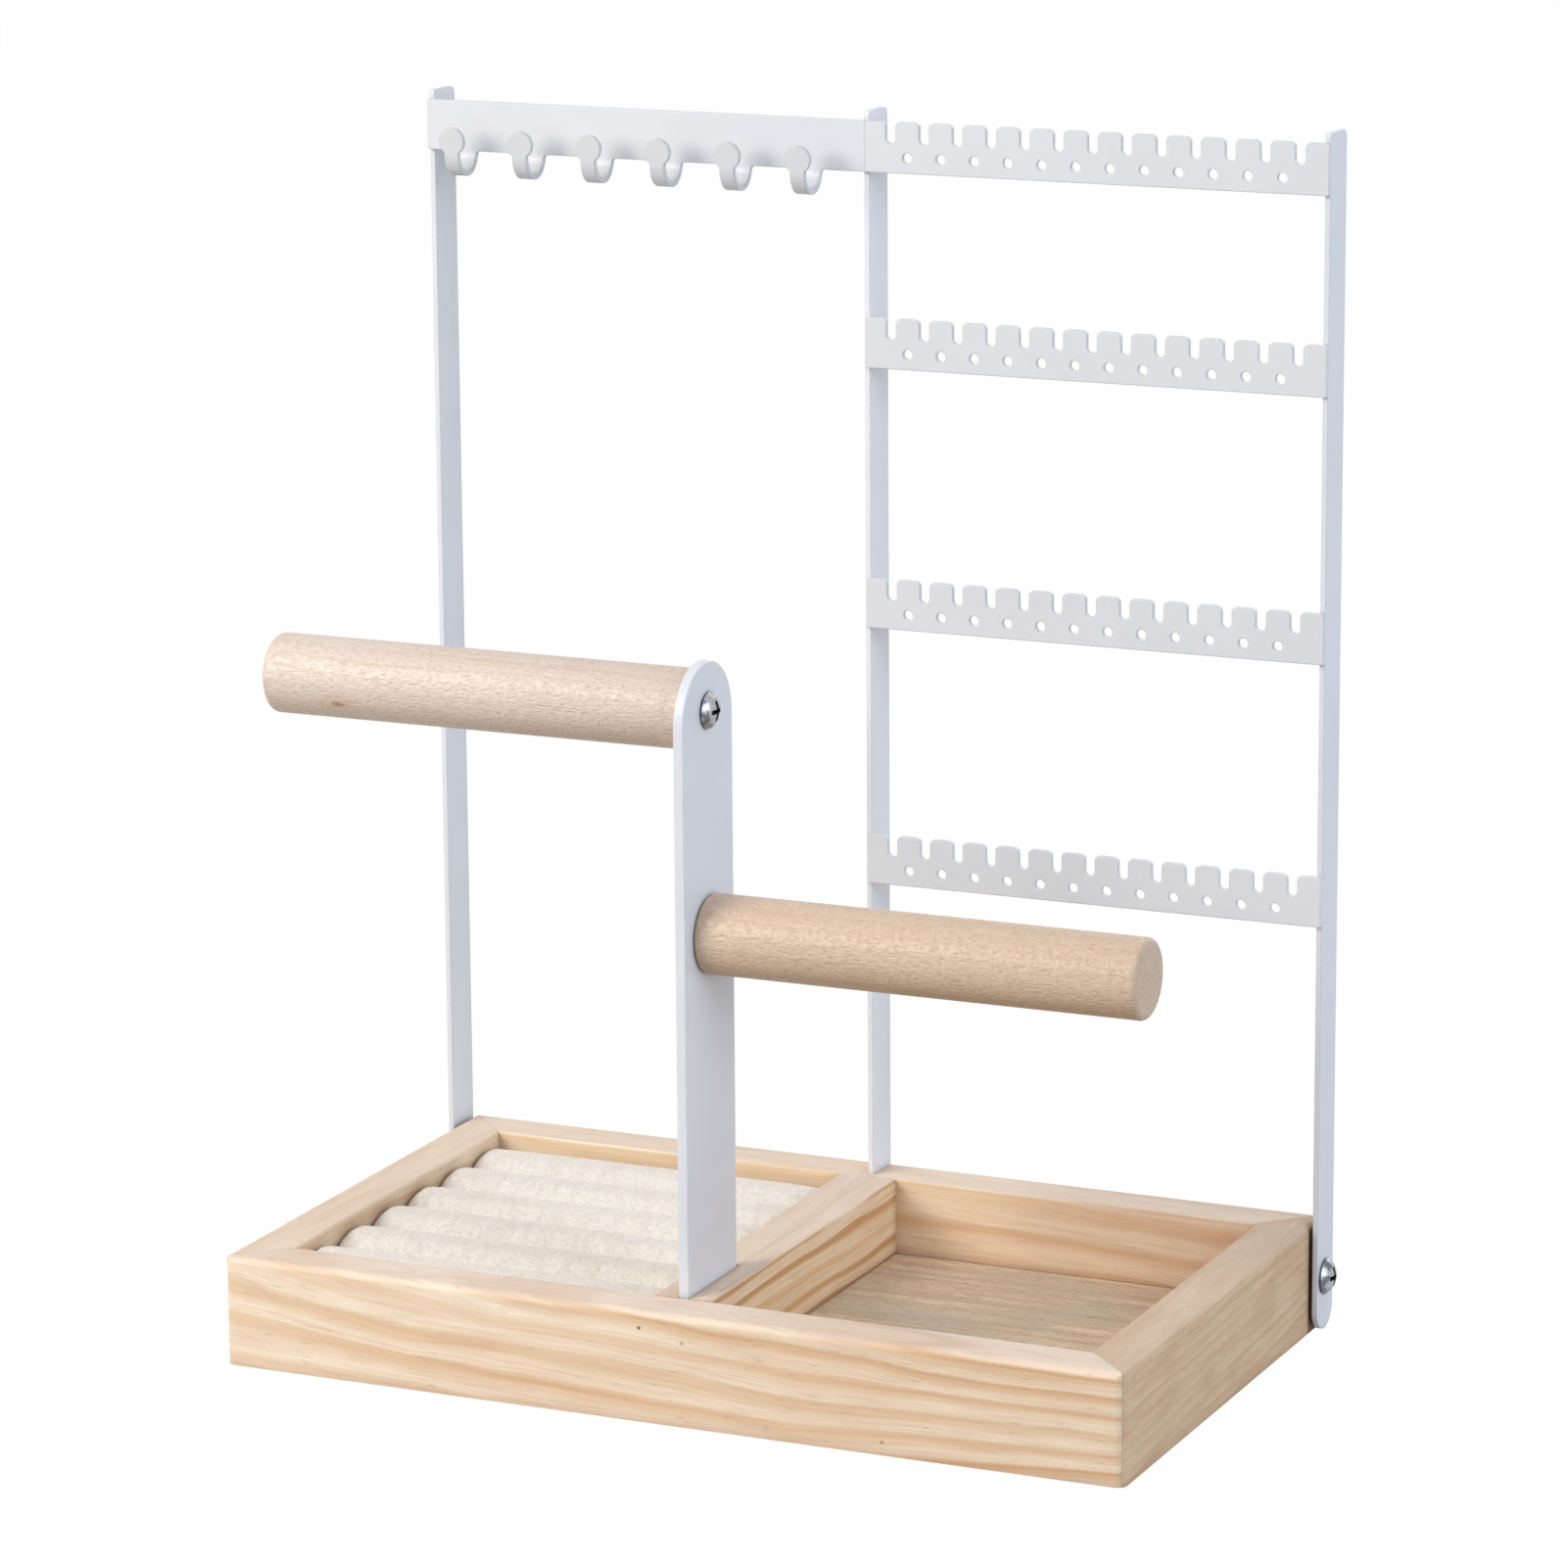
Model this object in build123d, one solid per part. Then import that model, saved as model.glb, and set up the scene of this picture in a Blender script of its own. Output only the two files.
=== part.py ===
# Desktop jewellery organizer: a pine tray with a ring pad, a flat metal stand with two necklace
# dowels, and a tall metal frame with a hook rail and four earring rails.
# Millimetres, +Z up, +X right, the front faces -Y. The origin is the centre of the tray's underside.
import os
from math import cos, radians, sin

from build123d import *

# Tray
tray_width = 272.0
tray_depth = 158.0
tray_height = 32.0
rail_thickness = 15.0
wood_easing = 2.0
inner_easing = 0.8
corner_easing = 3.0
floor_thickness = 3.0
floor_recess = 6.5
groove_depth = 5.0
groove_clearance = 0.2
divider_width = 17.5
pin_diameter = 1.0
pin_length = 30.0
pin_spacing = 13.0
pin_below_top = 6.4
pin_stagger = 2.8

# Wood left between the floor panel and the slots that hold the post and the middle upright
wood_under_slot = 2.5

# Metal frame
upright_width = 13.0
upright_thickness = 1.5
upright_top = 344.5
upright_foot = 0.3
upright_rear_round = 2.5
upright_front_round = 1.0
frame_gap = 1.2
kerf_clearance = 0.1

# Rails of the frame, hung from the uprights' tops
strip_height = 14.5
strip_thickness = 1.5
strip_below_top = 2.5
second_strip_drop = 56.0
strip_spacing = 75.5
lower_strip_count = 3

# Hooks
hook_count = 6
hook_width = 4.4
hook_reach = 13.0
hook_disc_diameter = 7.8
hook_disc_rise = 4.0
hook_flare = 1.2
outer_hook_inset = 13.4
inner_hook_inset = 15.9

# Earring notches and holes
tooth_count = 12
inner_notch_inset = 7.9
outer_notch_inset = 8.4
notch_width = 3.1
notch_depth = 6.2
tooth_round = 1.4
hole_diameter = 3.0
hole_height = 4.4

# Necklace stand
post_width = 32.0
post_thickness = 3.0
post_top = 208.0
post_easing = 0.35
slot_side_clearance = 0.2
slot_front_clearance = 0.4
slot_rear_clearance = 1.2
dowel_diameter = 22.5
dowel_length = 129.0
dowel_easing = 1.6
dowel_below_top = 13.5
dowel_drop = 62.5

# Screws
screw_head_diameter = 10.4
screw_head_height = 3.2
screw_head_rim = 0.7
screw_shank_diameter = 4.0
screw_tip = 3.0
screw_clearance = 0.2
pilot_clearance = 0.05
pilot_spare = 1.0
recess_width = 1.3
recess_length = 5.6
recess_depth = 1.9
dowel_screw_grip = 14.0
upright_screw_height = 15.9
upright_screw_wall = 3.7

# Ring pad
roll_count = 6
roll_height = 17.7
roll_crown_rise = 5.0
roll_gap = 0.4
pad_clearance = 0.4
board_thickness = 2.0
roll_base_draw = 0.9
roll_end_run = 2.2
roll_end_drop = 2.6
roll_end_narrowing = 2.4
roll_end_steps = 2

# How far a cutting body runs past the piece that it cuts
cut_margin = 1.0
quarter_turn = 90

# Places that follow from the sizes above
half_width = tray_width / 2
half_depth = tray_depth / 2
inner_half_width = half_width - rail_thickness
inner_half_depth = half_depth - rail_thickness
floor_top = floor_recess + floor_thickness
slot_bottom = floor_top + wood_under_slot
upright_inner_x = half_width + frame_gap
upright_outer_x = upright_inner_x + upright_thickness
upright_front_y = half_depth - upright_width
upright_middle_y = half_depth - upright_width / 2
upright_screw_grip = upright_outer_x - inner_half_width - upright_screw_wall - screw_tip
top_strip_height = upright_top - strip_below_top - strip_height
second_strip_height = top_strip_height - second_strip_drop
strip_length = upright_outer_x
hook_pitch = (strip_length - outer_hook_inset - inner_hook_inset) / (hook_count - 1)
tooth_pitch = (strip_length - inner_notch_inset - outer_notch_inset) / tooth_count
post_middle_y = -inner_half_depth + slot_front_clearance + post_width / 2
upper_dowel_height = post_top - dowel_below_top
lower_dowel_height = upper_dowel_height - dowel_drop
pad_left = -inner_half_width + pad_clearance
pad_right = -divider_width / 2 - pad_clearance
pad_front = -inner_half_depth + pad_clearance

os.makedirs("parts", exist_ok=True)


def save(shape, node):
    # One closed piece, or a group of equal ones, becomes one named file.
    shape.label = node
    export_step(shape, f"parts/{node}.step")


def block(x_range, y_range, z_range):
    # A plain box between two corners.
    sizes = [high - low for low, high in (x_range, y_range, z_range)]
    middles = [(low + high) / 2 for low, high in (x_range, y_range, z_range)]
    return Pos(*middles) * Box(*sizes)


def rod(diameter, start, direction, length):
    # A round bar that starts at a point and runs in a direction.
    plane = Plane(origin=start, z_dir=direction)
    return plane * extrude(Circle(diameter / 2), length)


def round_top(outline, first_radius, last_radius):
    # Rounds the two top corners of an outline, each with its own radius.
    for end, radius in ((0, first_radius), (-1, last_radius)):
        corner = outline.vertices().group_by(Axis.Y)[-1].sort_by(Axis.X)[end]
        outline = fillet(corner, radius)
    return outline


# Tray rails


def rail_profile():
    # X runs inward from the outer face and Y runs up. The groove takes the floor panel's edge.
    profile = Pos(rail_thickness / 2, tray_height / 2) * Rectangle(rail_thickness, tray_height)
    profile = round_top(profile, wood_easing, inner_easing)
    groove = Pos(rail_thickness - groove_depth / 2, floor_recess + floor_thickness / 2)
    return profile - groove * Rectangle(groove_depth, floor_thickness)


def mitre_outline(length, outer_y):
    # A trapezium in plan, a margin larger than the rail, with both ends at 45 degrees.
    outer_half = length / 2 + cut_margin
    inner_half = length / 2 - rail_thickness - cut_margin
    front_y = outer_y - cut_margin
    back_y = outer_y + rail_thickness + cut_margin
    return Polyline((-outer_half, front_y), (outer_half, front_y),
                    (inner_half, back_y), (-inner_half, back_y), close=True)


def corner_waste(side, length, outer_y):
    # The wood outside the rounded upright edge at one end of a rail.
    corner = (side * (length / 2 - corner_easing), outer_y + corner_easing)
    square = block(sorted((corner[0], side * (length / 2 + cut_margin))),
                   (outer_y - cut_margin, corner[1]), (-cut_margin, tray_height + cut_margin))
    return square - rod(2 * corner_easing, (*corner, -2 * cut_margin), (0, 0, 1),
                        tray_height + 4 * cut_margin)


def tray_rail(length, distance, turn):
    # Drawn as a front rail, then turned about Z to its own side of the tray.
    outer_y = -distance
    end = Plane(origin=(-length / 2, outer_y, 0), x_dir=(0, 1, 0), z_dir=(1, 0, 0))
    rail = end * extrude(rail_profile(), length)
    mitres = extrude(make_face(mitre_outline(length, outer_y)), tray_height + 2 * cut_margin)
    rail &= Pos(0, 0, -cut_margin) * mitres
    for side in (-1, 1):
        rail -= corner_waste(side, length, outer_y)
    return Rot(0, 0, turn) * rail - pin_group(pilot_clearance) - kerf() - upright_pilots()


def pin_group(clearance=0.0):
    # Headless pins that hold the divider's two ends through the front and rear rails. In each
    # pair the left pin sits higher than the right one.
    pins = []
    for end in (-1, 1):
        for side in (-1, 1):
            height = tray_height - pin_below_top - side * pin_stagger / 2
            start = (side * pin_spacing / 2, end * half_depth, height)
            pins.append(rod(pin_diameter + 2 * clearance, start, (0, -end, 0), pin_length))
    return pins


def kerf():
    # The saw cut in the rear rail that the middle upright drops into.
    reach = upright_thickness / 2 + kerf_clearance
    return block((-reach, reach), (upright_front_y - kerf_clearance, half_depth + cut_margin),
                 (slot_bottom, tray_height + cut_margin))


def upright_pilots():
    # Holes in the wood for the screws of the two side uprights.
    mouth_x = half_width + cut_margin
    end_x = inner_half_width + upright_screw_wall - pilot_spare
    diameter = screw_shank_diameter + 2 * pilot_clearance
    return [rod(diameter, (side * mouth_x, upright_middle_y, upright_screw_height),
                (-side, 0, 0), mouth_x - end_x) for side in (-1, 1)]


# Floor and divider


def floor_panel():
    reach_x = inner_half_width + groove_depth - groove_clearance
    reach_y = inner_half_depth + groove_depth - groove_clearance
    return block((-reach_x, reach_x), (-reach_y, reach_y), (floor_recess, floor_top))


def divider():
    half = divider_width / 2
    body = block((-half, half), (-inner_half_depth, inner_half_depth), (floor_top, tray_height))
    long_edges = body.edges().filter_by(Axis.Y).sort_by(Axis.Z)[-2:]
    body = fillet(long_edges, inner_easing)
    slot_half = post_thickness / 2 + slot_side_clearance
    slot_end = post_middle_y + post_width / 2 + slot_rear_clearance
    slot = block((-slot_half, slot_half), (-inner_half_depth - cut_margin, slot_end),
                 (slot_bottom, tray_height + cut_margin))
    return body - slot - pin_group(pilot_clearance)


# Frame


def upright(inner_x, foot, direction):
    # A flat bar with its two top corners rounded, as thick as the metal from its inner face out.
    outline = Pos(upright_middle_y, (foot + upright_top) / 2) * Rectangle(
        upright_width, upright_top - foot)
    outline = round_top(outline, upright_front_round, upright_rear_round)
    plane = Plane(origin=(inner_x, 0, 0), x_dir=(0, 1, 0), z_dir=(1, 0, 0))
    return plane * extrude(outline, direction * upright_thickness)


def side_upright(side):
    # Runs down the tray's side to a round foot and is drilled for its screw.
    inner_x = side * upright_inner_x
    foot_centre = upright_foot + upright_width / 2
    bar = upright(inner_x, foot_centre, side)
    bar += rod(upright_width, (inner_x, upright_middle_y, foot_centre), (side, 0, 0),
               upright_thickness)
    hole_start = (inner_x - side * cut_margin, upright_middle_y, upright_screw_height)
    return bar - rod(screw_shank_diameter + 2 * screw_clearance, hole_start, (side, 0, 0),
                     upright_thickness + 2 * cut_margin)


def middle_upright():
    return upright(-upright_thickness / 2, slot_bottom, 1)


def strip_plane(x, height):
    # X to the right and Y up, on the face of the uprights that the strips are fixed to.
    return Plane(origin=(x, upright_front_y, height), x_dir=(1, 0, 0), z_dir=(0, -1, 0))


def hook(x):
    # A tongue that leaves the strip's bottom edge, turns up in front of it and ends in a disc.
    outer = hook_reach / 2
    widest = hook_width + 2 * hook_flare
    side_plane = Plane(origin=(x, upright_front_y - outer, top_strip_height),
                       x_dir=(0, 1, 0), z_dir=(1, 0, 0))
    ring = Circle(outer) - Circle(outer - strip_thickness)
    rear_bend = ring & (Pos(outer / 2, -outer / 2) * Rectangle(outer, outer))
    front_bend = ring & (Pos(-outer / 2, -outer / 2) * Rectangle(outer, outer))
    rear = side_plane * extrude(rear_bend, widest / 2, both=True)
    front = side_plane * extrude(front_bend, hook_width / 2, both=True)
    flare = Pos(0, -hook_flare / 2) * Rectangle(widest, hook_flare)
    for side in (-1, 1):
        flare -= Pos(side * widest / 2, -hook_flare) * Circle(hook_flare)
    flare += Pos(0, -outer / 2) * Rectangle(hook_width, outer)
    rear &= strip_plane(x, top_strip_height) * extrude(flare, outer)
    leg_y = upright_front_y - hook_reach + strip_thickness
    disc_height = top_strip_height + hook_disc_rise
    leg = block((x - hook_width / 2, x + hook_width / 2), (leg_y - strip_thickness, leg_y),
                (top_strip_height, disc_height))
    disc = rod(hook_disc_diameter, (x, leg_y, disc_height), (0, -1, 0), strip_thickness)
    return rear + front + leg + disc


def hook_rail():
    outline = Pos(-strip_length / 2, strip_height / 2) * Rectangle(strip_length, strip_height)
    rail = strip_plane(0, top_strip_height) * extrude(outline, strip_thickness)
    for place in range(hook_count):
        rail += hook(-inner_hook_inset - place * hook_pitch)
    return rail


def earring_rail(height, meets_hook_rail):
    # Notches with round bottoms along the top edge, and a hole under each tooth between them.
    outline = Pos(strip_length / 2, strip_height / 2) * Rectangle(strip_length, strip_height)
    notch_centre = strip_height - notch_depth + notch_width / 2
    for place in range(tooth_count + 1):
        x = inner_notch_inset + place * tooth_pitch
        outline -= Pos(x, notch_centre) * Circle(notch_width / 2)
        outline -= Pos(x, (notch_centre + strip_height) / 2) * Rectangle(
            notch_width, strip_height - notch_centre)
    # The outer end's corner stays square, and so does an inner end that meets the hook rail.
    corners = outline.vertices().group_by(Axis.Y)[-1].sort_by(Axis.X)
    outline = fillet(corners[int(meets_hook_rail):-1], tooth_round)
    for place in range(tooth_count):
        x = inner_notch_inset + (place + 0.5) * tooth_pitch
        outline -= Pos(x, hole_height) * Circle(hole_diameter / 2)
    return strip_plane(0, height) * extrude(outline, strip_thickness)


# Necklace stand


def stand_post():
    # A flat bar with a half-round top, its rims eased and drilled for the two dowel screws.
    round_height = post_top - post_width / 2
    outline = Pos(post_middle_y, (slot_bottom + round_height) / 2) * Rectangle(
        post_width, round_height - slot_bottom)
    outline += Pos(post_middle_y, round_height) * Circle(post_width / 2)
    plane = Plane(origin=(-post_thickness / 2, 0, 0), x_dir=(0, 1, 0), z_dir=(1, 0, 0))
    post = plane * extrude(outline, post_thickness)
    post = fillet(post.faces().filter_by(Axis.X).edges(), post_easing)
    for height in (upper_dowel_height, lower_dowel_height):
        start = (-post_thickness, post_middle_y, height)
        post -= rod(screw_shank_diameter + 2 * screw_clearance, start, (1, 0, 0),
                    2 * post_thickness)
    return post


def dowel(side, height):
    # side is -1 for the dowel that runs to the left and 1 for the one that runs to the right.
    start = (side * post_thickness / 2, post_middle_y, height)
    bar = rod(dowel_diameter, start, (side, 0, 0), dowel_length)
    bar = fillet(bar.edges().filter_by(GeomType.CIRCLE), dowel_easing)
    reach = dowel_screw_grip - post_thickness + screw_tip + pilot_spare
    return bar - rod(screw_shank_diameter + 2 * pilot_clearance, start, (side, 0, 0), reach)


# Screws


def screw(grip):
    # A domed cross-recess screw with its seat at Z = 0, its head above and its shank below.
    rim = screw_head_diameter / 2
    shank = screw_shank_diameter / 2
    side = Polyline((0, screw_head_height), (0, -grip - screw_tip), (shank, -grip), (shank, 0),
                    (rim, 0), (rim, screw_head_rim))
    crown_rise = screw_head_height - screw_head_rim
    crown_radius = (rim**2 + crown_rise**2) / (2 * crown_rise)
    crown = RadiusArc((rim, screw_head_rim), (0, screw_head_height), -crown_radius)
    body = revolve(Plane.XZ * make_face([side, crown]), Axis.Z)
    for length, width in ((recess_length, recess_width), (recess_width, recess_length)):
        body -= block((-length / 2, length / 2), (-width / 2, width / 2),
                      (screw_head_height - recess_depth, screw_head_height + cut_margin))
    return body


def driven_screw(seat, direction, grip):
    return Plane(origin=seat, z_dir=direction) * screw(grip)


# Ring pad


def roll_section(x, middle_y, width, height):
    # Flat underside, sides drawn in towards the board and a crown, at one place along the roll.
    base = floor_top + board_thickness
    half = width / 2
    foot = half - roll_base_draw
    side_top = base + height - roll_crown_rise
    plane = Plane(origin=(x, middle_y, 0), x_dir=(0, 1, 0), z_dir=(1, 0, 0))
    sides = Polyline((-half, side_top), (-foot, base), (foot, base), (half, side_top))
    crown = ThreePointArc((half, side_top), (0, base + height), (-half, side_top))
    return plane * make_face([sides, crown])


def ring_roll(place):
    # Cross-sections joined along X. Each end rounds off on a quarter ellipse.
    pitch = (-2 * pad_front + roll_gap) / roll_count
    width = pitch - roll_gap
    middle_y = pad_front + width / 2 + place * pitch
    stations = []
    for step in range(roll_end_steps + 1):
        angle = radians(quarter_turn * step / roll_end_steps)
        inset = roll_end_run * (1 - cos(angle))
        loss = 1 - sin(angle)
        size = (width - roll_end_narrowing * loss, roll_height - roll_end_drop * loss)
        stations += [(pad_left + inset, size), (pad_right - inset, size)]
    sections = [roll_section(x, middle_y, *size) for x, size in sorted(stations)]
    return loft(sections, ruled=True)


def pad_board():
    return block((pad_left, pad_right), (pad_front, -pad_front),
                 (floor_top, floor_top + board_thickness))


long_rail = (tray_width, half_depth)
short_rail = (tray_depth, half_width)
tray_sides = (("front", long_rail), ("right", short_rail), ("rear", long_rail), ("left", short_rail))
for place, (name, (length, distance)) in enumerate(tray_sides):
    save(tray_rail(length, distance, place * quarter_turn), f"tray_{name}_rail")
save(floor_panel(), "tray_floor_panel")
save(divider(), "tray_divider")
save(Compound(children=pin_group()), "divider_pins")

save(middle_upright(), "middle_upright")
for side, name in ((-1, "left"), (1, "right")):
    save(side_upright(side), f"{name}_upright")
    seat = (side * upright_outer_x, upright_middle_y, upright_screw_height)
    save(driven_screw(seat, (side, 0, 0), upright_screw_grip), f"{name}_upright_screw")

save(hook_rail(), "hook_rail")
save(earring_rail(top_strip_height, True), "earring_rail_1")
for place in range(lower_strip_count):
    height = second_strip_height - place * strip_spacing
    save(earring_rail(height, False), f"earring_rail_{place + 2}")

save(stand_post(), "stand_post")
for side, name, height in ((-1, "upper", upper_dowel_height), (1, "lower", lower_dowel_height)):
    save(dowel(side, height), f"{name}_dowel")
    seat = (-side * post_thickness / 2, post_middle_y, height)
    save(driven_screw(seat, (-side, 0, 0), dowel_screw_grip), f"{name}_dowel_screw")

save(pad_board(), "ring_pad_board")
for place in range(roll_count):
    save(ring_roll(place), f"ring_roll_{place + 1}")
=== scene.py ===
from math import asin, cos, pi, radians, sin

import bmesh
import bpy
from mathutils import Matrix, Vector, noise


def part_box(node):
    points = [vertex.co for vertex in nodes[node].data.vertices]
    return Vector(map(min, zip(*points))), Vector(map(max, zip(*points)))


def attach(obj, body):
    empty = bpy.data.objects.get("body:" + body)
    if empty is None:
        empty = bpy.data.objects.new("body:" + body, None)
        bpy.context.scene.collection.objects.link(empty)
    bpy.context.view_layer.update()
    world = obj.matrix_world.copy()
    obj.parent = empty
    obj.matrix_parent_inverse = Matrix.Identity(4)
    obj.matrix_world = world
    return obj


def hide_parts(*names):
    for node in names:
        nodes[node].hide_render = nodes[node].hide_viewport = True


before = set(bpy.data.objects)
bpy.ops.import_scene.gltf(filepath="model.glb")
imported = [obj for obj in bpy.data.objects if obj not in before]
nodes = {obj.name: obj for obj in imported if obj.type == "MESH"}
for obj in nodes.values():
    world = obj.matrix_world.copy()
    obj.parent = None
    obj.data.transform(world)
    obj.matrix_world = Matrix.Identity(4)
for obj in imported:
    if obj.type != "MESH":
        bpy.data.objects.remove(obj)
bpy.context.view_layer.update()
mm = 0.001
print("frame loaded with", len(nodes), "solids")


# Shader maths

class Wire:  # an output socket that takes part in sums
    def __init__(self, shader, socket):
        self.shader = shader
        self.socket = socket

    def calc(self, operation, first, second=0.0):
        return self.shader.node("Math", {"operation": operation}, {0: first, 1: second})

    def __add__(self, other):
        return self.calc("ADD", self, other)

    def __sub__(self, other):
        return self.calc("SUBTRACT", self, other)

    def __rsub__(self, other):
        return self.calc("SUBTRACT", other, self)

    def __mul__(self, other):
        return self.calc("MULTIPLY", self, other)

    def __truediv__(self, other):
        return self.calc("DIVIDE", self, other)

    def __rtruediv__(self, other):
        return self.calc("DIVIDE", other, self)

    def __pow__(self, other):
        return self.calc("POWER", self, other)

    def __abs__(self):
        return self.calc("ABSOLUTE", self)

    __radd__ = __add__
    __rmul__ = __mul__

    def fraction(self):
        return self.calc("FRACT", self)

    def most(self, other):
        return self.calc("MAXIMUM", self, other)

    def least(self, other):
        return self.calc("MINIMUM", self, other)

    def within(self, low, high):  # 0 at low and 1 at high, held at both ends
        return ((self - low) / (high - low)).most(0.0).least(1.0)


class Shader:  # the nodes of one material, or of the world
    def __init__(self, owner):
        owner.use_nodes = True
        self.owner = owner
        self.tree = owner.node_tree
        self.tree.nodes.clear()

    def node(self, kind, settings, sockets, output=0):
        made = self.tree.nodes.new("ShaderNode" + kind)
        for key, value in settings.items():
            if key == "stops":
                setStops(made.color_ramp, value)
            else:
                setattr(made, key, value)
        for key, value in sockets.items():
            if isinstance(value, Wire):
                self.tree.links.new(value.socket, made.inputs[key])
            else:
                made.inputs[key].default_value = value
        return Wire(self, made.outputs[output]) if made.outputs else None

    def place(self):  # where a point is on the object, in millimetres
        point = self.node("TexCoord", {}, {}, "Object")
        point = self.node("VectorMath", {"operation": "SCALE"}, {0: point, "Scale": 1 / mm})
        return [self.node("SeparateXYZ", {}, {0: point}, axis) for axis in range(3)]

    def cloud(self, x, y, z, detail=2.0, roughness=0.5):  # takes places times waves per millimetre
        point = self.node("CombineXYZ", {}, {0: x, 1: y, 2: z})
        return self.node("TexNoise", {}, {"Vector": point, "Scale": 1.0, "Detail": detail,
                                          "Roughness": roughness})

    def ramp(self, value, stops):
        return self.node("ValToRGB", {"stops": stops}, {0: value})

    def blend(self, share, first, second, mode="MIX"):
        return self.node("Mix", {"data_type": "RGBA", "blend_type": mode},
                         {0: share, 6: first, 7: second}, 2)

    def openness(self, distance):  # 1 in the open, less in corners and gaps
        return self.node("AmbientOcclusion", {"samples": 8}, {"Distance": distance}, "AO")

    def bump(self, height, distance, normal=None):
        sockets = {"Strength": 1.0, "Distance": distance, "Height": height}
        if normal is not None:
            sockets["Normal"] = normal
        return self.node("Bump", {}, sockets)

    def surface(self, sockets):
        made = self.node("BsdfPrincipled", {}, sockets)
        self.node("OutputMaterial", {}, {"Surface": made})
        return self.owner


def setStops(ramp, stops):
    shades = [(place, (level, level, level, 1)) for place, level in stops]
    for element, (place, shade) in zip(ramp.elements, (shades[0], shades[-1])):
        element.position, element.color = place, shade
    for place, shade in shades[1:-1]:
        ramp.elements.new(place).color = shade


def newShader(name):
    return Shader(bpy.data.materials.new(name))


def paint(red, green, blue):  # a colour as a screen shows it, from 0 to 255
    levels = [level / 255 for level in (red, green, blue)]
    return (*[v / 12.92 if v <= 0.04045 else ((v + 0.055) / 1.055) ** 2.4 for v in levels], 1)


def finish(names, material):
    for name in names:
        for slot in nodes[name].material_slots:
            slot.material = material


# Pine tray

pineLook = {
    "pale": paint(250, 232, 206),
    "warm": paint(226, 186, 146),
    "deep": paint(194, 150, 100),
    "paintedTopSheen": paint(222, 204, 190),
    "fibreShade": paint(206, 166, 126),
    "fleckShade": paint(150, 108, 74),
    "paintedGapShadow": paint(74, 34, 22),
    "glueShade": paint(168, 130, 98),
    "glueWidth": 0.35,
    "paintedCornerShade": paint(150, 98, 58),
    "paintedCornerWidth": 5 * mm,
    "roughness": 0.58,
    "grainDepth": 0.05 * mm,
    "sway": 12.0,
    "ripple": 2.6,
    "thinRing": 0.29,
    "paintedTopShadeShare": 0.6,
    "broadShare": 0.3,
    "blotch": 0.22,
    "fibreShare": 0.36,
    "threadShare": 0.2,
    "paintedTopSheenShare": 0.42,
    "fleckShare": 0.22,
    "glueShare": 0.32,
    "resinShare": 0.6,
    "paintedGapShadowShare": 0.85,
    "paintedCornerShare": 0.4,
}

# heart is where the tree's middle lay, across and above the board. drift tilts and bends its rings
# along the board, and gather draws them together towards a height
pineBoards = {
    "tray_front_rail": {"along": 0, "heart": (-62, -48), "ring": 6.6, "drift": (0.054, -0.000116),
                        "gather": (0.0022, 26), "streak": 1.1, "seed": 11.0,
                        "tone": (1.02, 1.03, 1.06), "paintedFarShade": (0.95, 0.93, 0.92),
                        "resin": (66.0, 3.7), "paintedTopSheen": paint(212, 200, 190)},
    "tray_rear_rail": {"along": 0, "heart": (40, -70), "ring": 8.8, "drift": (0.02, 0.0001),
                       "gather": (-0.001, 16), "streak": 0.85, "crisp": (0.3, 0.9), "seed": 47.0,
                       "tone": (1.0, 1.06, 1.06), "paintedFarShade": (0.885, 0.83, 0.82)},
    "tray_left_rail": {"along": 1, "heart": (-105, -60), "ring": 4.5, "drift": (0.02, 0.0),
                       "gather": (0.0, 16), "streak": 0.4, "seed": 83.0,
                       "tone": (0.93, 0.91, 0.89)},
    "tray_right_rail": {"along": 1, "heart": (165, -75), "ring": 3.4, "drift": (-0.03, 0.0001),
                        "gather": (0.001, 16), "streak": 0.5, "blotch": 0.45, "seed": 29.0,
                        "tone": (0.78, 0.69, 0.61), "paintedTopSheen": paint(215, 209, 202)},
    "tray_divider": {"along": 1, "heart": (-48, -44), "ring": 4.2, "drift": (0.008, 0.0),
                     "gather": (0.0004, 16), "streak": 2.0, "crisp": (0.4, 0.75), "plainTop": 0.75,
                     "seed": 61.0, "tone": (0.88, 0.83, 0.75), "paintedTopSheen": paint(220, 211, 216)},
}

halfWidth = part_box("tray_right_rail")[1].x / mm
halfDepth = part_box("tray_rear_rail")[1].y / mm
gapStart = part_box("right_upright")[0].y / mm  # painted shadow lies on the wood behind the side uprights


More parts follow.
